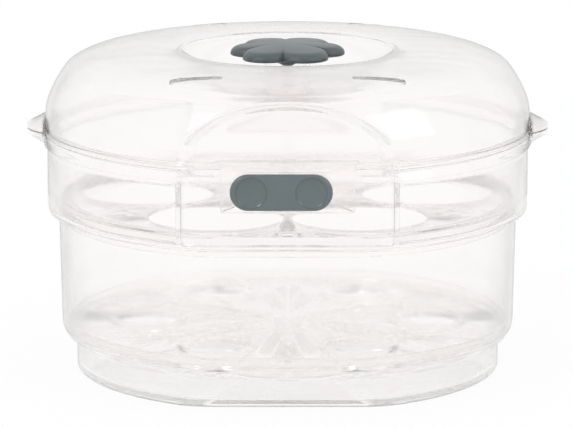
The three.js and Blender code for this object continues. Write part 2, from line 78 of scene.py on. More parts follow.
@dataclass
class Surface:
    """Points in millimetres with the quads and triangles between them."""

    points: Array
    quads: Array
    triangles: Array

    def __add__(self, other: "Surface") -> "Surface":
        """Both surfaces side by side."""
        start = len(self.points)
        return Surface(
            np.vstack([self.points, other.points]),
            np.vstack([self.quads, other.quads + start]),
            np.vstack([self.triangles, other.triangles + start]),
        )

    def moved(self, x: float = 0, y: float = 0, z: float = 0) -> "Surface":
        """The surface carried by x, y and z."""
        return replace(self, points=self.points + (x, y, z))

    def turned(self, angle: float) -> "Surface":
        """The surface turned about the Z axis."""
        c, s = math.cos(angle), math.sin(angle)
        spin = np.array([[c, s, 0], [-s, c, 0], [0, 0, 1]])
        return replace(self, points=self.points @ spin)

    def standing(self) -> "Surface":
        """The surface stood up: its own up becomes the front, its forward becomes up."""
        x, y, z = self.points.T
        return replace(self, points=np.column_stack([x, -z, y]))

    def both_ways(self) -> "Surface":
        """The surface and its copy turned half way round."""
        return self + self.turned(math.pi)

    def outward(self) -> "Surface":
        """The closed surface with its faces pointing out.

        Returns:
            The surface, turned inside out where its volume is negative.
        """
        split = np.vstack([self.triangles, self.quads[:, [0, 1, 2]], self.quads[:, [0, 2, 3]]])
        a, b, c = (self.points[split[:, k]] for k in range(3))
        if np.einsum("ij,ij->", a, np.cross(b, c)) >= 0:
            return self
        return Surface(self.points, self.quads[:, ::-1], self.triangles[:, ::-1])


def together(surfaces: Sequence[Surface]) -> Surface:
    """All surfaces side by side."""
    return sum(surfaces[1:], surfaces[0])


def woven(grid: Array) -> Surface:
    """A closed surface over a grid of points whose second direction goes round.

    Row k, place j joins to row k + 1 and to place j + 1. Each end is closed by triangles to
    the middle of its row.

    Args:
        grid: points, shaped rows by places by 3.

    Returns:
        The surface, pointing out.
    """
    rows, places = grid.shape[:2]
    index = np.arange(rows * places).reshape(rows, places)
    upper, lower = index[1:], index[:-1]
    quads = np.stack(
        [lower, np.roll(lower, -1, axis=1), np.roll(upper, -1, axis=1), upper], axis=-1
    ).reshape(-1, 4)
    points = grid.reshape(-1, 3)
    ends = np.vstack([grid[0].mean(axis=0), grid[-1].mean(axis=0)])
    first, last = index[0], index[-1]
    foot = np.column_stack([np.full(places, rows * places), np.roll(first, -1), first])
    head = np.column_stack([np.full(places, rows * places + 1), last, np.roll(last, -1)])
    return Surface(np.vstack([points, ends]), quads, np.vstack([foot, head])).outward()


def least(a: Array, b: Array, blend: Union[float, Array]) -> Array:
    """The smaller of two values, rounded where they are nearer than blend to each other.

    It is min(a, b) less a quarter of blend times the square of their nearness.
    """
    near = np.clip(1 - np.abs(a - b) / blend, 0, 1)
    return np.minimum(a, b) - near**2 * blend / 4


def rounded(corners: Corners, steps: int = 4, looped: bool = False) -> Array:
    """A path of straight runs whose corners are rounded.

    A corner P with reach a becomes (1-t)^2 A + 2t(1-t) P + t^2 B, where A and B lie a from P
    on its two runs. A point on each run, a little past A and B, keeps its shading flat.

    Args:
        corners: each the path's values at a corner, and last its reach.
        steps: spans in each rounded corner.
        looped: whether the path goes round.

    Returns:
        The path's points in order.
    """
    data = np.asarray(corners, float)
    spots, reaches = data[:, :-1], data[:, -1]
    count = len(spots)
    t = np.linspace(0, 1, steps + 1)[:, None]
    path = []
    for k in range(count):
        if reaches[k] <= 0 or (not looped and k in (0, count - 1)):
            path.append(spots[k][None])
            continue
        back, on = spots[k - 1] - spots[k], spots[(k + 1) % count] - spots[k]
        lengths = np.linalg.norm(back), np.linalg.norm(on)
        reach = min(reaches[k], 0.46 * lengths[0], 0.46 * lengths[1])
        hold = min(0.3 + reach * 0.2, 0.48 * min(lengths) - reach)
        a, b = (spots[k] + reach * way / size for way, size in zip((back, on), lengths))
        curve = (1 - t) ** 2 * a + 2 * t * (1 - t) * spots[k] + t**2 * b
        if hold > 0.05:
            before = spots[k] + (reach + hold) * back / lengths[0]
            after = spots[k] + (reach + hold) * on / lengths[1]
            curve = np.vstack([before, curve, after])
        path.append(curve)
    return np.vstack(path)


def flowing(spots: Corners, steps: int = 6) -> Array:
    """A smooth curve through spots: between two of them a cubic whose slope at each spot is
    half the way from the spot before it to the spot after it."""
    p = np.asarray(spots, float)
    slope = np.gradient(p, axis=0)
    t = np.linspace(0, 1, steps, endpoint=False)[:, None, None]
    a, b, u, v = p[:-1], p[1:], slope[:-1], slope[1:]
    curve = (
        (2 * t**3 - 3 * t**2 + 1) * a + (t**3 - 2 * t**2 + t) * u
        + (3 * t**2 - 2 * t**3) * b + (t**3 - t**2) * v
    )
    return np.vstack([curve.transpose(1, 0, 2).reshape(-1, p.shape[1]), p[-1:]])


def gathered(corner: float, turn: int) -> Array:
    """Angles round a vessel, up to three times as many to the degree near its four corners.

    The step between two angles is one over 1 + 2 exp(-(a / 7)^2), with a the degrees to the
    nearest corner, scaled so that all the steps make a whole turn.

    Args:
        corner: the angle in radians from the X axis at which the round meets the flat.
        turn: how many angles.

    Returns:
        The angles in radians, rising.
    """
    even = np.pi / 2 * np.linspace(0, 1, 721)
    crowd = np.cumsum(1 + 2 * np.exp(-(np.degrees(even - corner) / 7) ** 2))
    crowd = (crowd - crowd[0]) / (crowd[-1] - crowd[0])
    quarter = np.interp((np.arange(turn // 4) + 0.5) / (turn // 4), crowd, even)
    half = np.concatenate([quarter, np.pi - quarter[::-1]])
    return np.concatenate([half, np.pi + half])


def polar(radius: Array, angle: Array, height: Union[float, Array]) -> Array:
    """Points at a radius and an angle about the Z axis, at a height."""
    height = np.broadcast_to(height, radius.shape)
    return np.stack([radius * np.cos(angle), radius * np.sin(angle), height], axis=-1)


def slope_at_flat(path: Array) -> Array:
    """The slope at which each ring of a path meets its flat.

    They meet at x = sqrt(radius^2 - flat^2). The slope there is x / flat along the ring and
    the path's own, radius over height, across it.
    """
    radius, flat = (column[:, None] for column in path.T[:2])
    side = np.sqrt(np.maximum(radius**2 - flat**2, 0)) / flat
    run = np.gradient(path[:, 0]) / np.maximum(np.abs(np.gradient(path[:, 2])), 0.01)
    return np.hypot(side, np.minimum(np.abs(run), 1.4)[:, None])


def rings(path: Array, turn: int = TURN, bend: float = BEND) -> Array:
    """Rings of points for a path of radius, flat and height.

    x = radius cos(angle), y = radius sin(angle) held smoothly within the flat. Half the
    bend's width times the slope at the flat is how much the two blend.

    Args:
        path: rows of radius, flat and height.
        turn: how many points in a ring.
        bend: width of the rounded bend between the round and a flat.

    Returns:
        The points, shaped rows by turn by 3.
    """
    radius, flat, height = (column[:, None] for column in path.T)
    widest = np.argmax(path[:, 0])
    meet = min(path[widest, 1] / max(path[widest, 0], 1), 1)
    even = 2 * np.pi * (np.arange(turn) + 0.5) / turn
    angle = gathered(math.asin(meet), turn) if meet < 1 else even
    x = radius * np.cos(angle)
    y = radius * np.sin(angle)
    blend = np.clip(bend / 2 * slope_at_flat(path), 0.05, 4)
    y = np.sign(y) * least(np.abs(y), np.broadcast_to(flat, y.shape), blend)
    return np.stack([x, y, np.broadcast_to(height, x.shape)], axis=-1)


def inside_flat(path: Array, x: Array) -> Array:
    """How far each point of the rings lies inside the edge of its flat, in millimetres.

    The round at x stands sqrt(radius^2 - x^2) from the axis. What the flat takes off it,
    over the slope at which the two meet, is the way to the edge.
    """
    radius, flat = (column[:, None] for column in path.T[:2])
    taken = np.sqrt(np.maximum(radius**2 - x**2, 0)) - flat
    return taken / np.maximum(slope_at_flat(path), 0.2)


def loft(corners: Corners) -> Surface:
    """A closed vessel from corners of radius, flat, height and reach."""
    return woven(rings(rounded(corners)))


def lathe(corners: Corners, turn: int = 64) -> Surface:
    """A turned solid from corners of radius, height and reach."""
    path = rounded(corners)
    path = np.column_stack([path[:, 0], np.full(len(path), OPEN), path[:, 1]])
    return woven(rings(path, turn))


def stack(outline: Array, levels: Corners) -> Surface:
    """A slab over an outline: its ring at each level is the outline moved inwards.

    Ring point j = outline j - inset times the outward normal at j, at the level's height.

    Args:
        outline: points of a closed curve, shaped places by 2, anticlockwise.
        levels: each an inset, a height and a reach, from the bottom up.

    Returns:
        The closed slab.
    """
    way = np.roll(outline, -1, axis=0) - np.roll(outline, 1, axis=0)
    way /= np.linalg.norm(way, axis=1, keepdims=True)
    normal = np.column_stack([way[:, 1], -way[:, 0]])
    path = rounded(levels)
    flat = outline - path[:, 0, None, None] * normal
    height = np.broadcast_to(path[:, 1, None, None], flat.shape[:2] + (1,))
    return woven(np.concatenate([flat, height], axis=-1))


def obround(length: float, width: float, places: int = 64) -> Array:
    """The outline of a bar with round ends, lying along X."""
    angle = 2 * np.pi * (np.arange(places) + 0.5) / places
    middle = np.sign(np.cos(angle)) * (length - width) / 2
    return np.column_stack([middle + width / 2 * np.cos(angle), width / 2 * np.sin(angle)])


def squared(width: float, height: float, reach: float) -> Array:
    """The outline of a rectangle with rounded corners."""
    x, y = width / 2, height / 2
    return rounded([[x, -y, reach], [x, y, reach], [-x, y, reach], [-x, -y, reach]], 5, True)


def spool(radius: float, low: float, high: float, lip: float, past: float = 3) -> Surface:
    """A round cutter whose ends flare out, so that the hole it leaves has rounded lips."""
    return lathe([
        [0, low - past, 0], [radius + lip, low - past, 0], [radius + lip, low, 0],
        [radius, low + lip * 0.6, lip * 0.5], [radius, high - lip * 0.6, lip * 0.5],
        [radius + lip, high, 0], [radius + lip, high + past, 0], [0, high + past, 0],
    ])


def slit(outline: Array, low: float, high: float, lip: float, past: float = 3) -> Surface:
    """A cutter along an outline whose ends flare out."""
    return stack(outline, [
        [-lip, low - past, 0], [-lip, low, 0], [0, low + lip * 0.6, lip * 0.5],
        [0, high - lip * 0.6, lip * 0.5], [-lip, high, 0], [-lip, high + past, 0],
    ])


def front(outline: Array, levels: Corners, height: float) -> Surface:
    """A slab stood up against the front: its levels become distances from the axis."""
    return stack(outline, levels).standing().moved(z=height)


def on_ring(make: Surface, radius: float, start: float = 0.0) -> list[Surface]:
    """Copies of a surface set on a ring about the Z axis, one for each bottle."""
    turns = (start + 2 * math.pi * k / PLACES for k in range(PLACES))
    return [make.moved(x=radius).turned(angle) for angle in turns]


# Meshes


def merge(mesh: bpy.types.Mesh, near: float) -> None:
    """Merge points of a mesh that lie this near, in metres, and drop faces without area."""
    work = bmesh.new()
    work.from_mesh(mesh)
    bmesh.ops.remove_doubles(work, verts=work.verts, dist=near)
    bmesh.ops.dissolve_degenerate(work, edges=work.edges, dist=1e-6)
    work.to_mesh(mesh)
    work.free()


def linked(name: str, data: bpy.types.ID) -> Thing:
    """A new object that holds some data, linked to the scene."""
    made = bpy.data.objects.new(name, data)
    bpy.context.scene.collection.objects.link(made)
    return made


def object_of(surface: Surface, name: str) -> Thing:
    """A linked object in metres that holds a surface, its double points merged."""
    mesh = bpy.data.meshes.new(name)
    faces = surface.quads.tolist() + surface.triangles.tolist()
    mesh.from_pydata((surface.points * METRES).tolist(), [], faces)
    merge(mesh, 2e-6)
    return linked(name, mesh)


def settle(thing: Thing) -> None:
    """Put the result of an object's modifiers into its mesh."""
    graph = bpy.context.evaluated_depsgraph_get()
    mesh = bpy.data.meshes.new_from_object(thing.evaluated_get(graph))
    thing.modifiers.clear()
    old, thing.data = thing.data, mesh
    bpy.data.meshes.remove(old)


def built(
    name: str,
    body: Surface,
    added: Sequence[Surface] = (),
    removed: Sequence[Surface] = (),
    last: Sequence[Surface] = (),
    crease: float = 34,
) -> Thing:
    """A solid joined from some closed surfaces and cut by others.

    Args:
        name: the piece's name.
        body: the first solid.
        added: solids joined to it in order.
        removed: solids cut out of the result in order.
        last: solids joined once the cuts are made.
        crease: the degrees past which an edge stays sharp in the shading.

    Returns:
        The finished object, at the origin.
    """
    piece = object_of(body, name)
    tools = []
    for operation, surfaces in (("UNION", added), ("DIFFERENCE", removed), ("UNION", last)):
        for surface in surfaces:
            tool = object_of(surface.outward(), name + "_tool")
            tools.append(tool)
            step = piece.modifiers.new(operation.lower(), "BOOLEAN")
            step.operation, step.solver, step.object = operation, "MANIFOLD", tool
    settle(piece)
    for tool in tools:
        mesh = tool.data
        bpy.data.objects.remove(tool)
        bpy.data.meshes.remove(mesh)
    smooth(piece, crease)
    return piece


def smooth(piece: Thing, crease: float) -> None:
    """Shade a piece smooth, with edges sharper than crease degrees kept sharp."""
    mesh = piece.data
    mesh.name = piece.name
    mesh.shade_smooth()
    mesh.set_sharp_from_angle(angle=math.radians(crease))


# Shaders


@dataclass(frozen=True)
class Maths:
    """A socket that gives a number in a node tree, whose expressions add their Math nodes."""

    nodes: "Nodes"
    socket: Socket

    def _with(self, operation: str, first: "Value", second: "Value") -> "Maths":
        """One Math node on two values."""
        made = self.nodes.node("Math", {0: first, 1: second}, {"operation": operation})
        return Maths(self.nodes, made.outputs[0])

    def __add__(self, other: "Value") -> "Maths":
        """self + other."""
        return self._with("ADD", self, other)

    def __mul__(self, other: "Value") -> "Maths":
        """self * other."""
        return self._with("MULTIPLY", self, other)

    def __pow__(self, other: "Value") -> "Maths":
        """self to the power of other."""
        return self._with("POWER", self, other)

    def most(self, other: "Value") -> "Maths":
        """The larger of self and other."""
        return self._with("MAXIMUM", self, other)

    def size(self) -> "Maths":
        """self without its sign."""
        return self._with("ABSOLUTE", self, 0)

    __rmul__ = __mul__


Value = Union[Maths, float, int]
Keyed = Optional[dict]


class Nodes:
    """A node tree that is filled through one method."""

    def __init__(self, owner: Union[bpy.types.Material, bpy.types.World]) -> None:
        """Clear the node tree of a material or a world."""
        owner.use_nodes = True
        self.tree = owner.node_tree
        self.tree.nodes.clear()

    def node(self, kind: str, inputs: Keyed = None, settings: Keyed = None) -> bpy.types.Node:
        """Add a node.

        Args:
            kind: the node's type, without the ShaderNode before it.
            inputs: a value, a socket or a Maths for each socket by name or number.
            settings: its properties, which are set first.

        Returns:
            The node.
        """
        made = self.tree.nodes.new("ShaderNode" + kind)
        for key, value in (settings or {}).items():
            setattr(made, key, value)
        for key, value in (inputs or {}).items():
            value = value.socket if isinstance(value, Maths) else value
            if isinstance(value, Socket):
                self.tree.links.new(value, made.inputs[key])
            else:
                made.inputs[key].default_value = value
        return made

    def number(self, kind: str, output: str, inputs: Keyed, settings: Keyed = None) -> Maths:
        """A node's output as a Maths."""
        return Maths(self, self.node(kind, inputs, settings).outputs[output])

    def noise(self, place: Socket, scale: float, detail: float) -> Maths:
        """Soft noise over a place."""
        return self.number("TexNoise", "Fac",
                           {"Vector": place, "Scale": scale, "Detail": detail})

    def mixed(self, share: Value, first: Sequence, second: Sequence) -> Socket:
        """A colour between two colours."""
        made = self.node("Mix", {"Factor": share, "A": (*first, 1.0), "B": (*second, 1.0)},
                         {"data_type": "RGBA"})
        return next(out for out in made.outputs if out.type == "RGBA")


def place_of(nodes: Nodes, shift: float) -> Socket:
    """Object coordinates, moved along so that two pieces don't share a pattern."""
    own = nodes.node("TexCoord").outputs["Object"]
    return nodes.node("Mapping", {
        "Vector": own, "Location": (shift, shift * 0.7, 0)}).outputs["Vector"]


@dataclass(frozen=True)
class Zone:
    """A part of a piece whose plastic looks different, as a window over Object coordinates.

    Each window is a low and a high end in millimetres; those across and forward are taken
    both ways from the axis. The window fades over soft at each end.
    """

    share: float
    across: Optional[tuple] = None
    forward: Optional[tuple] = None
    up: Optional[tuple] = None
    soft: float = 2.0

    def mask(self, nodes: Nodes) -> Maths:
        """How far each point is in the zone: the share times each window's rise and fall."""
        own = nodes.node("TexCoord").outputs["Object"]
        parts = nodes.node("SeparateXYZ", {"Vector": own}).outputs
        total: Value = self.share
        for output, window in (("X", self.across), ("Y", self.forward), ("Z", self.up)):
            if window is None:
                continue
            value = Maths(nodes, parts[output])
            value = value if output == "Z" else value.size()
            for end, way in ((window[0], 1), (window[1], -1)):
                ends = (end - way * self.soft) * METRES, end * METRES
                total = total * nodes.number(
                    "MapRange", "Result",
                    {"Value": value, "From Min": ends[0], "From Max": ends[1]},
                    {"interpolation_type": "SMOOTHSTEP"})
        return total


def any_of(nodes: Nodes, zones: Sequence[Zone]) -> Maths:
    """The largest of some zones' masks at each point."""
    first, *rest = [zone.mask(nodes) for zone in zones]
    for other in rest:
        first = first.most(other)
    return first


EAR_MILK = Zone(0.75, across=(131.5, 145))


@dataclass(frozen=True)
class ClearPlastic:
    """Clear moulded polypropylene: waves from the mould, painted shade at its edges, milky zones.

    A wall seen edge on is greyed by painted shade, only inside the edge zones where there are any.
    Lines of painted shade are grey from every side. In the rim zones a wall seen edge on turns
    matt grey, a painted shade: a clear one would only mirror the white surroundings.
    """

    name: str
    shift: float
    face: tuple = (0.997, 0.989, 0.984)
    # edge: the grey painted as shade where a wall is seen edge on
    edge: tuple = (0.42, 0.41, 0.405)
    edge_shade_power: float = 6.0
    edge_shade_zones: tuple = ()
    # zones of painted shade: grey lines along creases and edges
    shade_lines: tuple = ()
    # zones where a wall seen edge on turns matt grey, a painted shade
    rim_shade_zones: tuple = ()
    rim_shade_power: float = 12.0
    roughness: float = 0.06
    waves: float = 0.35
    zones: tuple = ()
    milk: tuple = (0.95, 0.935, 0.925)
    rim_shade_grey: tuple = (0.25, 0.24, 0.235)

    def material(self) -> bpy.types.Material:
        """The finish as a material."""
        made = bpy.data.materials.new(self.name)
        nodes = Nodes(made)
        place = place_of(nodes, self.shift)
        flow = nodes.noise(place, 16, 2)
        grain = nodes.noise(place, 420, 1)
        facing = nodes.number("LayerWeight", "Facing", {"Blend": 0.5})
        # painted shade: the colour turns towards edge where a wall is seen edge on, within the edge
        # zones
        grey = facing**self.edge_shade_power
        if self.edge_shade_zones:
            grey = grey * any_of(nodes, self.edge_shade_zones)
        # painted shade: grey lines along creases and edges, the same from every side
        if self.shade_lines:
            grey = grey.most(any_of(nodes, self.shade_lines))
        colour = nodes.mixed(grey, self.face, self.edge)
        bump = nodes.node("Bump", {
            "Strength": self.waves, "Distance": 0.0012, "Height": flow + grain * 0.01})
        shader = nodes.node("BsdfPrincipled", {
            "Base Color": colour, "Roughness": flow * 0.05 + self.roughness,
            "IOR": 1.42, "Transmission Weight": 1.0, "Normal": bump.outputs["Normal"]})
        surface = shader.outputs["BSDF"]
        masks = [any_of(nodes, self.zones)] if self.zones else []
        tone = (*self.milk, 1)
        # painted shade: in these zones a wall seen edge on turns matt and grey
        if self.rim_shade_zones:
            rim = facing**self.rim_shade_power * any_of(nodes, self.rim_shade_zones)
            tone = nodes.mixed(rim * 4, self.milk, self.rim_shade_grey)
            masks.append(rim)
        if masks:
            matt = nodes.node("BsdfPrincipled", {
                "Base Color": tone, "Roughness": 0.35, "Normal": bump.outputs["Normal"]})
            surface = nodes.node("MixShader", {
                0: masks[0].most(masks[-1]), 1: surface, 2: matt.outputs["BSDF"]}).outputs[0]
        nodes.node("OutputMaterial", {"Surface": surface})
        return made


@dataclass(frozen=True)
class SlatePlastic:
    """Slate grey moulded plastic with a fine grain and a satin shine."""

    name: str
    shift: float
    dark: tuple = (0.094, 0.122, 0.126)
    light: tuple = (0.115, 0.147, 0.151)
    roughness: float = 0.3
    coat: float = 0.0

    def material(self) -> bpy.types.Material:
        """The finish as a material."""
        made = bpy.data.materials.new(self.name)
        nodes = Nodes(made)
        place = place_of(nodes, self.shift)
        cloud = nodes.noise(place, 60, 2)
        grain = nodes.noise(place, 2600, 1)
        bump = nodes.node("Bump", {
            "Strength": 0.12, "Distance": 0.0002, "Height": grain})
        shader = nodes.node("BsdfPrincipled", {
            "Base Color": nodes.mixed(cloud, self.dark, self.light),
            "Roughness": cloud * 0.1 + grain * 0.05 + self.roughness,
            "Coat Weight": self.coat, "Coat Roughness": 0.06,
            "Normal": bump.outputs["Normal"]})
        nodes.node("OutputMaterial", {"Surface": shader.outputs["BSDF"]})
        return made


# The object

Finish = Union[ClearPlastic, SlatePlastic]


def hand_over(piece: Thing, body: str, node: str, finish: Finish) -> None:
    """Dress a piece and put it in the place of its CAD node.

    Args:
        piece: the finished object.
        body: the CAD body it rides on.
        node: the CAD node it stands for.
        finish: what it wears.
    """
    piece.data.materials.clear()
    piece.data.materials.append(finish.material())
    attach(piece, body)
    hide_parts(node)
    LOG.info("%s: %d faces", piece.name, len(piece.data.polygons))


@dataclass
class Bowl:
    """The water bowl: foot, overhanging wall, ledge for the rack, and brim."""

    foot: float = 113.8
    foot_flat: float = 102.5
    foot_top: float = 16.6
    wall_low: float = 121.6
    wall_top: float = 123.0
    flat: float = 115.0
    shoulder: float = 24.6
    brim: float = 86.2
    wall: float = 2.2
    ledge: float = 21.5
    floor: float = 3.8

    def build(self) -> None:
        """Loft the wall from the middle of the underside round to the middle of the floor."""
        foot, foot_flat, foot_top = self.foot, self.foot_flat, self.foot_top
        foot_in, foot_in_flat = foot - self.wall, foot_flat - self.wall
        wall_in, flat_in = self.wall_low - self.wall, self.flat - self.wall
        piece = built("bowl_shell", loft([
            [0, foot_flat - 9, 1.2, 0], [foot - 9, foot_flat - 9, 1.2, 0.8],
            [foot - 9.6, foot_flat - 9.6, 0.0, 0.5], [foot, foot_flat, 0.0, 3.2],
            [foot, foot_flat, foot_top, 0.9], [foot + 0.5, self.flat, foot_top + 0.3, 0.5],
            [119.1, self.flat, 19.6, 1.6], [self.wall_low, self.flat, self.shoulder, 2.2],
            [self.wall_top, self.flat, self.brim, 0.8],
            [self.wall_top - self.wall, flat_in, self.brim, 0.8],
            [wall_in, flat_in, 22.9, 0.6], [wall_in - 0.7, flat_in - 0.4, self.ledge, 0.4],
            [foot_in, foot_in_flat, self.ledge, 1.0], [foot_in, foot_in_flat, self.floor, 2.6],
            [0, foot_in_flat, self.floor, 0],
        ]))
        # painted shade on the bowl: grey where foot and wall are seen edge on, a grey line round
        # the foot's bottom where it stands on the floor, matt grey rims seen edge on
        hand_over(piece, "bowl", "base_bowl", ClearPlastic(
            "clear_bowl", 0.0,
            edge_shade_zones=(Zone(1.0, up=(5, 15.5), soft=1.0), Zone(1.0, up=(24, 90))),
            shade_lines=(Zone(0.4, up=(-1, 0.6), soft=0.2),),
            rim_shade_zones=(Zone(0.9, up=(2, 16), soft=1.0), Zone(0.9, up=(24, 90)))))


@dataclass
class Rack:
    """The bottle rack: a plate with a rim round it, six collars, ribs, drain holes and slots."""

    radius: float = 118.0
    flat: float = 110.8
    low: float = 21.8
    top: float = 28.3
    plate: float = 2.2
    ring: float = 75.0
    bore: float = 18.4
    collar: float = 20.7
    collar_top: float = 26.6
    rib_top: float = 27.0

    def build(self) -> None:
        """Loft the plate, join collars and ribs to it, and cut its holes."""
        floor = self.low + self.plate
        inner, inner_flat = self.radius - self.plate, self.flat - self.plate
        body = loft([
            [0, self.flat, self.low, 0], [self.radius, self.flat, self.low, 0.6],
            [self.radius, self.flat, self.top, 1.2], [inner, inner_flat, self.top, 0.8],
            [inner, inner_flat, floor, 1.4], [0, inner_flat, floor, 0],
        ])
        foot = self.collar + 1.3
        collar = lathe([
            [0, floor - 0.7, 0], [foot, floor - 0.7, 0], [foot, floor - 0.1, 0],
            [self.collar, floor + 1.0, 0.8], [self.collar, self.collar_top, 0.9],
            [0, self.collar_top, 0],
        ])
        half = math.radians(30)
        rib = stack(obround(68, 3.6, 40), [
            [0.2, floor - 0.7, 0], [-0.5, floor - 0.1, 0], [0, floor + 0.8, 0.5],
            [0.2, self.rib_top, 0.9], [1.2, self.rib_top, 0],
        ])
        hub = lathe([
            [0, floor - 0.8, 0], [8.6, floor - 0.8, 0], [8.6, floor - 0.05, 0],
            [8, floor + 0.9, 0.6], [8, self.rib_top + 0.05, 1.2], [0, self.rib_top + 0.05, 0],
        ])
        spread = half - math.radians(9.2)
        bores = on_ring(spool(self.bore, self.low, self.collar_top, 0.6), self.ring)
        vent = spool(2.5, self.low, floor, 0.4)
        slot = slit(obround(14, 3.6), self.low, floor, 0.4).turned(math.pi / 2)
        vents = [*on_ring(vent, 32.3, spread), *on_ring(vent, 32.3, -spread)]
        piece = built(
            "rack_plate", body,
            [together(on_ring(collar, self.ring)), together(on_ring(rib, 39, half)), hub],
            [together([*bores, *vents, *on_ring(slot, 82.2, half)])],
        )
        # the rack's greyer face tint and its grey seen edge on are partly the longer way through a
        # plate seen low, and partly painted shade for the plate lying inside the bowl
        hand_over(piece, "rack", "bottle_rack", ClearPlastic(
            "clear_rack", 0.31, face=(0.972, 0.962, 0.959), edge=(0.93, 0.92, 0.915),
            edge_shade_power=8.0, roughness=0.04, waves=0.15))


def ear(path: Corners, root: float) -> Surface:
    """An ear at each side: a beak whose reach follows a round edge in plan.

    The edge lies c cos(angle) + sqrt(r^2 - c^2 sin^2(angle)) from the axis, with r its radius
    and c the way from the axis to its middle. A share of 0 is the root and 1 is the edge.

    Args:
        path: the section's corners as share, height and reach, going round.
        root: where the beak starts, from the axis.

    Returns:
        Both ears.
    """
    share, height = rounded(path, 4, True).T[:, None]
    angle = np.radians(np.linspace(-EAR_SPREAD, EAR_SPREAD, 61))[:, None]
    middle = EAR_REACH - EAR_ROUND
    edge = middle * np.cos(angle) + np.sqrt(EAR_ROUND**2 - (middle * np.sin(angle)) ** 2)
    radius = root + share * (np.maximum(edge, root + 0.4) - root)
    return woven(polar(radius, angle, height)).both_ways()


@dataclass
class Tray:
    """The upper tray: floor with six bottle openings, skirt, gutter, recesses, band and neck."""

    radius: float = 129.0
    flat: float = 117.6
    bottom: float = 86.5
    floor: float = 94.4
    plate: float = 2.2
    skirt: float = 119.8
    skirt_flat: float = 111.8
    skirt_low: float = 82.0
    band: float = 131.0
    band_flat: float = 118.8
    band_low: float = 122.8
    band_top: float = 129.2
    neck: float = 127.4
    neck_flat: float = 115.4
    neck_top: float = 132.8
    wall: float = 2.2
    ring: float = 75.0
    opening: float = 35.5
    pocket_wall: float = 111.0
    pocket_half: float = 54.8
    pocket_low: float = 88.7
    notch_half: float = 35.5
    lug: tuple = (16.4, 118.1)
    lug_face: float = 114.6
    past: float = 124.0

    def shell(self) -> Surface:
        """The turned wall, from the middle of the floor's underside round to its top."""
        under, gutter = self.floor - self.plate, self.pocket_low
        neck_in, flat_in = self.neck - self.wall, self.neck_flat - self.wall
        wall_in, skirt_in = self.radius - self.wall, self.skirt - 2
        skirt_flat, band_flat = self.skirt_flat, self.band_flat
        return loft([
            [0, skirt_flat - 3, under, 0], [skirt_in, skirt_flat - 3, under, 1.4],
            [skirt_in, skirt_flat - 3, self.skirt_low, 0.7],
            [self.skirt, skirt_flat, self.skirt_low, 0.7],
            [self.skirt, skirt_flat, self.bottom, 1.0],
            [self.radius, self.flat, self.bottom, 3.0],
            [self.radius, self.flat, self.band_low, 0.5],
            [self.band, band_flat, self.band_low, 1.0], [self.band, band_flat, self.band_top, 0.8],
            [self.neck, self.neck_flat, self.band_top, 0.4],
            [self.neck, self.neck_flat, self.neck_top, 0.8],
            [neck_in, flat_in, self.neck_top, 0.8], [neck_in, flat_in, 127.0, 1.2],
            [wall_in, flat_in + 0.2, 120.6, 1.2], [wall_in - 0.7, flat_in, gutter, 2.0],
            [wall_in - 5, flat_in - 3.6, gutter, 1.2],
            [wall_in - 5, flat_in - 3.6, self.floor, 1.0], [0, flat_in - 3.6, self.floor, 0],
        ])

    def slab(self, half: float, near: float, far: float, low: float, high: float) -> Surface:
        """A standing block across the front, with rounded edges, and its copy at the back."""
        outline = squared(2 * half, high - low, 1.5)
        return front(outline, [[0, near, 0], [0, far, 0]], (low + high) / 2).both_ways()

    def build(self) -> None:
        """Join the recesses' backing and ears, cut recesses and openings, then set in the lugs."""
        half, low, near, far = self.pocket_half, self.pocket_low, self.pocket_wall, self.past
        back = near - self.wall
        backing = self.slab(half + self.wall, back, 114.9, low - 1.8, 124.9)
        riser = self.slab(self.notch_half + self.wall, back, 114.9, 110, self.neck_top - 0.2)
        pocket = self.slab(half, near, far, low, self.band_low)
        recess = self.slab(half, self.neck_flat + 0.05, far, 118, self.band_top + 0.6)
        notch = self.slab(self.notch_half, near, far, low, 142)
        across, height = self.lug
        lug = front(squared(5.6, 3.0, 0.5), [
            [0, near - 0.6, 0], [0, self.lug_face, 0.3], [0.4, self.lug_face, 0]], height)
        beak = ear([
            [0, 122.0, 0.2], [0.94, 127.5, 1.0], [1, 128.2, 0.4],
            [1, 129.8, 0.4], [0.93, 130.2, 0.8], [0, 126.0, 0.2],
        ], root=128.2)
        under = self.floor - self.plate
        openings = on_ring(spool(self.opening, under, self.floor, 0.7), self.ring)
        web = slit(obround(9.5, 5.0), under, self.floor, 0.25).turned(math.pi / 2)
        webs = on_ring(web, 100.8, math.radians(30))
        piece = built(
            "tray_shell", self.shell(),
            [backing, riser, beak],
            [pocket, recess, notch, together([*openings, *webs])],
            [lug.moved(x=across) + lug.moved(x=-across)],
        )
        # painted shade on the tray: grey where walls between heights 97 and 121 are seen edge on,
        # grey lines along the recesses' sides and bottoms and round the floor's top, matt grey rims
        # seen edge on
        hand_over(piece, "tray", "upper_tray", ClearPlastic(
            "clear_tray", 0.57, face=(0.996, 0.984, 0.981),
            edge=(0.5, 0.48, 0.475), edge_shade_zones=(Zone(1.0, up=(97, 121)),),
            shade_lines=(
                Zone(0.12, across=(53.8, 56.2), forward=(111, 117.8), up=(90, 129), soft=0.6),
                Zone(0.1, forward=(108, 120), up=(88, 95.5), soft=1.0),
                Zone(0.06, up=(91.8, 95), soft=0.4),
            ),
            zones=(EAR_MILK,), rim_shade_zones=(Zone(0.95, up=(97, 121)),)))


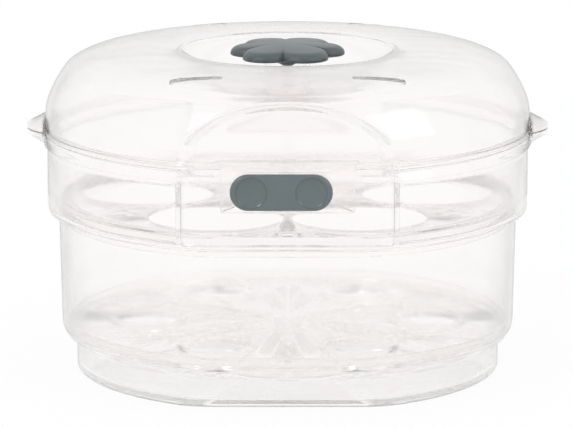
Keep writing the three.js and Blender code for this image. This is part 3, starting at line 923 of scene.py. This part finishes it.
@dataclass
class Lid:
    """The lid: band, dome with two flats, handle well and post, vents, ears and tongues."""

    radius: float = 130.0
    flat: float = 118.0
    band: float = 131.0
    band_flat: float = 118.8
    low: float = 129.5
    band_high: float = 132.0
    dome_low: float = 138.0
    dome_high: float = 173.3
    well: float = 58.5
    well_floor: float = 29.0
    well_depth: float = 17.6
    post: float = 12.0
    post_top: float = 169.1
    wall: float = 2.2
    bend: float = 2.6
    rim_width: float = 5.5
    rim: float = 0.7
    tongue_face: float = 117.98
    tongue_low: float = 106.3
    tongue_half: float = 34.7
    latch_height: float = 117.6
    track: tuple = (61.3, 20.8)
    slot: tuple = (19.1, 7.6)
    vent: tuple = (47.5, 88.0)
    past: float = 125.0
    dome_shares: tuple = (
        (1, 0), (0.993, 0.2), (0.973, 0.386), (0.949, 0.555), (0.927, 0.677), (0.908, 0.762),
        (0.883, 0.825), (0.846, 0.887), (0.795, 0.937), (0.73, 0.968), (0.64, 0.99), (0.54, 1),
    )
    well_shares: tuple = (
        (1, 0.985), (0.92, 0.92), (0.72, 0.655), (0.44, 0.335), (0.17, 0.09), (0, 0),
    )

    def roof(self, inset: float) -> Array:
        """The dome and the well as one smooth path of radius, flat and height.

        Each spot of the shares is moved inwards by the inset along the outline's slope.
        """
        rise = self.dome_high - self.dome_low
        floor = self.dome_high - self.well_depth
        dome = [
            [self.radius * r - inset * math.sqrt(1 - h * h), self.flat - inset,
             self.dome_low + rise * h - inset * h]
            for r, h in self.dome_shares
        ]
        width = self.well - self.well_floor
        side = [
            [self.well_floor + width * w + inset * (1 + h) / 2, self.flat - inset,
             floor + self.well_depth * h - inset]
            for w, h in self.well_shares
        ]
        return flowing(dome + side)

    def shell(self) -> Surface:
        """The wall from under the post out to the band, and back over the dome to its top."""
        floor = self.dome_high - self.well_depth
        inner, inner_flat = self.radius - self.wall, self.flat - self.wall
        post_in, top_in = self.post - self.wall, self.post_top - self.wall
        hollow = rounded([
            [0, inner_flat, top_in, 0], [post_in, inner_flat, top_in, 0.8],
            [post_in, inner_flat, floor - self.wall, 2.4],
            [self.well_floor, inner_flat, floor - self.wall, 0],
        ])
        outside = rounded([
            [inner, inner_flat, self.dome_low, 0], [inner, inner_flat, self.low, 0.5],
            [self.band, self.band_flat, self.low, 0.8],
            [self.band, self.band_flat, self.band_high, 0.8],
            [self.radius, self.flat, self.band_high, 0.4],
            [self.radius, self.flat, self.dome_low, 0],
        ])
        post = rounded([
            [self.well_floor, self.flat, floor, 0], [self.post, self.flat, floor, 3.0],
            [self.post, self.flat, self.post_top, 1.0], [0, self.flat, self.post_top, 0],
        ])
        roof, ceiling = self.roof(0), self.roof(self.wall)[::-1]
        path = np.vstack([hollow[:-1], ceiling, outside[1:-1], roof, post[1:]])
        grid = rings(path, bend=self.bend)
        x, y, z = grid[..., 0], grid[..., 1], grid[..., 2]
        start = len(hollow) - 1 + len(ceiling) + len(outside) - 2
        top = np.zeros(len(path), bool)
        top[start:start + len(roof)] = True
        # a low rim along each arch, just inside its edge, that fades out at its feet
        way = np.clip(inside_flat(path, x) / self.rim_width, 0, 1)
        rise = self.rim * np.sin(np.pi * way) ** 2 * np.clip((z - self.dome_low) / 4, 0, 1)
        grid[..., 1] = y + np.sign(y) * rise * (top[:, None] & (np.abs(y) > self.flat - 8))
        return woven(grid)

    def build(self) -> None:
        """Join ears and tongues to the shell, then cut gaps, track, slot, vents and stem hole."""
        beak = ear([
            [0, 134.3, 0.2], [0.94, 130.7, 1.0], [1, 131.1, 0.4],
            [1, 132.7, 0.4], [0.93, 133.1, 0.8], [0, 137.9, 0.4],
        ], root=128.6)
        half, low, high = self.tongue_half, self.tongue_low, self.band_high + 0.9
        face, level, past = self.tongue_face, self.latch_height, self.past
        back = face - 2.8
        outline = rounded([
            [half, low, 1.6], [half, high, 1.0], [-half, high, 1.0], [-half, low, 1.6],
        ], 8, True) - (0, level)
        tongue = front(outline, [
            [0.8, back, 0], [0, back, 0.5], [0, face, 0.7], [1.6, face, 0]], level)
        track = front(obround(*self.track, 128), [
            [0, face - 1.1, 0.4], [0, face, 0], [-0.7, face + 0.4, 0], [-0.7, past, 0]], level)
        slot = front(squared(*self.slot, 0.8), [[0, 110, 0], [0, past, 0]], level)
        gap = front(squared(109.6, 9, 0.6), [[0, self.flat, 0], [0, past, 0]], self.band_high - 3)
        vent = slit(obround(27, 5.0), 150, 171.5, 0.5, past=8)
        across, forward = self.vent
        vents = together([
            vent.moved(x=x, y=y) for y in (-forward, forward) for x in (across, -across)])
        hole = spool(4.2, self.post_top - self.wall, self.post_top, 0.3)
        piece = built("lid_shell", self.shell(), [beak, tongue.both_ways()],
                      [gap.both_ways(), track, slot, vents, hole])
        # painted shade on the lid: grey where the dome is seen edge on, grey lines along each
        # flat's arch and round the top of the dome, matt grey rims seen edge on
        hand_over(piece, "lid", "lid", ClearPlastic(
            "clear_lid", 0.83, face=(0.997, 0.986, 0.983),
            edge_shade_zones=(Zone(1.0, up=(135, 176)),),
            shade_lines=(
                Zone(0.12, forward=(118.12, 120), up=(142, 175), soft=0.1),
                Zone(0.06, up=(172.5, 176), soft=1.0),
            ),
            zones=(EAR_MILK,), rim_shade_zones=(Zone(0.95, up=(135, 176)),)))


@dataclass
class Badge:
    """The plain lobed cap on the lid's post, with its stem."""

    radius: float = 30.6
    low: float = 169.4
    edge_top: float = 174.0
    crown: float = 1.9
    lobes: tuple = (
        (0.64, 0.03, 0.36), (0.28, 0.5, 0.475), (-0.33, 0.49, 0.455),
        (-0.66, 0.02, 0.34), (-0.39, -0.54, 0.39), (0.27, -0.53, 0.44),
    )

    def reach(self, angle: Array) -> tuple[Array, Array]:
        """How far the outline reaches at each angle, and how far inside a crease it is.

        A lobe with middle m and size s reaches a + sqrt(s^2 - m^2 + a^2), where a is m along
        the angle. The outline is the largest reach, and the crease is deepest where the two
        largest are equal.
        """
        across, forward, size = np.array(self.lobes).T[:, :, None]
        along = across * np.cos(angle) + forward * np.sin(angle)
        inside = size**2 - across**2 - forward**2 + along**2
        each = np.where(inside > 0, along + np.sqrt(np.maximum(inside, 0)), 0)
        ordered = np.sort(each, axis=0)
        return ordered[-1] * self.radius, np.exp(-((ordered[-1] - ordered[-2]) / 0.07) ** 2)

    def cap(self) -> Surface:
        """The cap: rounded at its rim, low crown, and a groove running in from each notch.

        The height over the rim's foot is a quarter ellipse of the way in from the rim, plus a
        crown that falls with the square of the way out, less the grooves.
        """
        angle = 2 * np.pi * np.arange(288) / 288
        reach, crease = self.reach(angle)
        share = np.sin(np.linspace(0, 1, 30) * np.pi / 2)[:, None] * 0.995
        radius = reach * share
        inward = np.clip((reach - radius) / 4.6, 0, 1)
        rim = np.sqrt(np.maximum(1 - (1 - inward) ** 2, 0))
        crown = self.crown * (1 - share**2)
        groove = crease * np.clip((share - 0.62) / 0.3, 0, 1) ** 2 * rim
        height = self.low + 1.2 + (self.edge_top - self.low - 1.2) * rim + crown - groove
        top = polar(radius, angle, height)[1:]
        levels = ((1.0, 1.2), (1.0, 0.5), (0.985, 0.1), (0.965, 0.0), (0.3, 0.0))
        side = [polar(reach * s, angle, self.low + rise) for s, rise in levels]
        return woven(np.concatenate([top, np.stack(side)]))

    def build(self) -> None:
        """Join the stem to the cap."""
        top = self.low + 0.6
        stem = lathe([
            [0, 163.9, 0], [3.0, 163.9, 0.3], [4.6, 165.7, 0.3], [4.6, 166.6, 0.2],
            [3.7, 166.6, 0.2], [3.7, top, 0], [0, top, 0],
        ], 48)
        piece = built("badge_cap", self.cap(), [stem], crease=50)
        hand_over(piece, "lid", "lid_badge", SlatePlastic(
            "slate_badge", 0.2, dark=(0.07, 0.09, 0.094), light=(0.084, 0.107, 0.111)))


@dataclass
class Latch:
    """The slide latch: the button in the tongue's track and the catch plate behind it."""

    length: float = 53.0
    height: float = 19.0
    back: float = 117.2
    face: float = 120.7
    rest: float = -3.25
    level: float = 117.6
    rim: float = 1.6
    dish: float = 8.2
    dish_out: float = 15.5
    dish_depth: float = 1.9

    def cap(self) -> Surface:
        """The button's cap: an obround pad with a rounded rim.

        A point is its place on the middle line plus its way out times the outward direction.
        Its height is the face less a quarter round at the rim.
        """
        half, back = self.height / 2, self.back
        outline = obround(self.length, self.height, 256)
        spine = np.clip(outline[:, 0], half - self.length / 2, self.length / 2 - half)
        spine = np.column_stack([spine, np.zeros(len(spine))])
        out = (outline - spine) / half
        curve = self.rim * (1 - np.cos(np.linspace(0, np.pi / 2, 8)))
        inset = np.concatenate([curve, np.linspace(self.rim + 0.15, half, 34)])
        flat = spine + out * (half - inset)[:, None, None]
        rim = self.rim - np.sqrt(self.rim**2 - np.maximum(self.rim - inset, 0) ** 2)
        height = self.face - np.broadcast_to(rim[:, None], flat.shape[:2])
        top = np.concatenate([flat, height[..., None]], axis=-1)[::-1]
        foot = np.stack([
            np.column_stack([outline - out * i, np.full(len(outline), h)])
            for i, h in ((0, back + 0.6), (0.15, back + 0.15), (0.6, back), (5, back))
        ])
        return woven(np.concatenate([top, foot]))

    def dishes(self) -> Surface:
        """The cutters of the two finger dishes: a quarter ellipse turned round, and its lip."""
        turn = np.linspace(0, np.pi / 2, 14)
        face, lip = self.face, self.dish + 0.5
        dish = lathe([
            *([self.dish * math.sin(t), face - self.dish_depth * math.cos(t), 0] for t in turn),
            [lip, face + 0.3, 0], [lip, face + 3, 0], [0, face + 3, 0],
        ], 96).standing()
        places = (self.rest - self.dish_out, self.rest + self.dish_out)
        return together([dish.moved(x=place, z=self.level) for place in places])

    def build(self) -> None:
        """Make the button with its shank and barb, and the catch plate from its CAD node."""
        shank = stack(squared(12, 7, 0.6), [[0, 111.55, 0], [0, self.back + 1, 0]])
        barb = stack(squared(12, 8.2, 0.6), [[0.5, 111.5, 0], [0, 111.8, 0.1], [0, 112.0, 0]])
        cap, *rest = [part.standing().moved(x=self.rest, z=self.level)
                      for part in (self.cap(), shank, barb)]
        button = built("button", cap, rest, [self.dishes()], crease=40)
        hand_over(button, "latch", "slide_button", SlatePlastic(
            "slate_button", 0.4, dark=(0.078, 0.104, 0.108), light=(0.096, 0.125, 0.129),
            roughness=0.24, coat=0.6))

        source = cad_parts["catch_plate"].data
        plate = linked("catch", source.copy())
        merge(plate.data, 1e-5)
        bevel = plate.modifiers.new("soft edges", "BEVEL")
        bevel.width, bevel.segments, bevel.limit_method = 0.00025, 2, "ANGLE"
        settle(plate)
        smooth(plate, 30)
        hand_over(plate, "latch", "catch_plate", SlatePlastic("slate_catch", 1.4))


# The studio


@dataclass
class Studio:
    """The pale floor, the soft light and the camera at the photograph's angle."""

    distance: float = 2.5
    camera_height: float = 0.5889
    pitch: float = 0.200
    lens: float = 297.2
    shift: float = -0.0019
    floor_white: float = 0.93
    sky_high: float = 0.96
    bounces: int = 48
    matt_bounces: int = 4

    def camera(self) -> None:
        """A long lens a little above the object."""
        data = bpy.data.cameras.new("camera")
        data.lens, data.sensor_width, data.shift_x = self.lens, 36.0, self.shift
        made = linked("camera", data)
        made.location = (0, -self.distance, self.camera_height)
        made.rotation_euler = (math.pi / 2 - self.pitch, 0, 0)
        bpy.context.scene.camera = made

    def seen(self, nodes: Nodes) -> Maths:
        """One where the floor or the sky is seen directly, in a reflection or through plastic."""
        path = nodes.node("LightPath").outputs
        plain = Maths(nodes, path["Is Camera Ray"])
        gloss = Maths(nodes, path["Is Glossy Ray"])
        through = Maths(nodes, path["Is Transmission Ray"])
        return plain.most(gloss).most(through)

    def floor(self) -> None:
        """A white floor that keeps a light shadow."""
        mesh = bpy.data.meshes.new("floor")
        edge = 30.0
        corners = [(-edge, -edge, 0), (edge, -edge, 0), (edge, edge, 0), (-edge, edge, 0)]
        mesh.from_pydata(corners, [], [(0, 1, 2, 3)])
        made = linked("floor", mesh)
        material = bpy.data.materials.new("white_floor")
        nodes = Nodes(material)
        matt = nodes.node("BsdfDiffuse", {"Color": (0.93, 0.93, 0.93, 1)})
        glow = nodes.node("Emission", {"Color": (1, 1, 1, 1), "Strength": 1.0})
        mixed = nodes.node("MixShader", {
            0: self.seen(nodes) * self.floor_white, 1: matt.outputs[0], 2: glow.outputs[0]})
        nodes.node("OutputMaterial", {"Surface": mixed.outputs[0]})
        mesh.materials.append(material)

    def sky(self) -> None:
        """White all round where it is seen, a little greyer high up in reflections."""
        world = bpy.data.worlds.new("studio")
        bpy.context.scene.world = world
        nodes = Nodes(world)
        way = nodes.node("TexCoord").outputs["Generated"]
        up = nodes.node("SeparateXYZ", {"Vector": way}).outputs["Z"]
        high = nodes.number("MapRange", "Result", {
            "Value": up, "From Min": 0.06, "From Max": 0.5, "To Min": 1.0, "To Max": self.sky_high})
        path = nodes.node("LightPath").outputs
        plain = Maths(nodes, path["Is Camera Ray"])
        back = nodes.node("Background", {
            "Color": (1, 1, 1, 1), "Strength": high.most(plain)})
        nodes.node("OutputWorld", {"Surface": back.outputs[0]})

    def lamp(self, name: str, place: Sequence[float], size: float, power: float) -> None:
        """A square soft box turned towards the object."""
        data = bpy.data.lights.new(name, "AREA")
        data.size, data.energy = size, power
        made = linked(name, data)
        made.location = place
        aim = np.array([0, 0, 0.1]) - np.array(place)
        pitch = math.atan2(math.hypot(aim[0], aim[1]), -aim[2])
        made.rotation_euler = (pitch, 0, math.atan2(aim[1], aim[0]) - math.pi / 2)

    def build(self) -> None:
        """Set the stage and how far light may go through the clear walls."""
        self.camera()
        self.floor()
        self.sky()
        self.lamp("key", (-1.2, -1.3, 1.5), 0.5, 9.0)
        self.lamp("fill", (1.5, -0.9, 1.1), 1.0, 5.0)
        bpy.context.scene.view_settings.view_transform = "Standard"
        cycles = bpy.context.scene.cycles
        cycles.max_bounces = self.bounces
        cycles.transmission_bounces = self.bounces
        cycles.glossy_bounces = self.bounces
        cycles.diffuse_bounces = self.matt_bounces


def main() -> None:
    """Build the studio and every piece in order."""
    logging.basicConfig(level=logging.INFO, format="%(name)s %(message)s")
    Studio().build()
    for part in (Bowl(), Rack(), Tray(), Lid(), Badge(), Latch()):
        part.build()


if __name__ == "__main__":
    main()
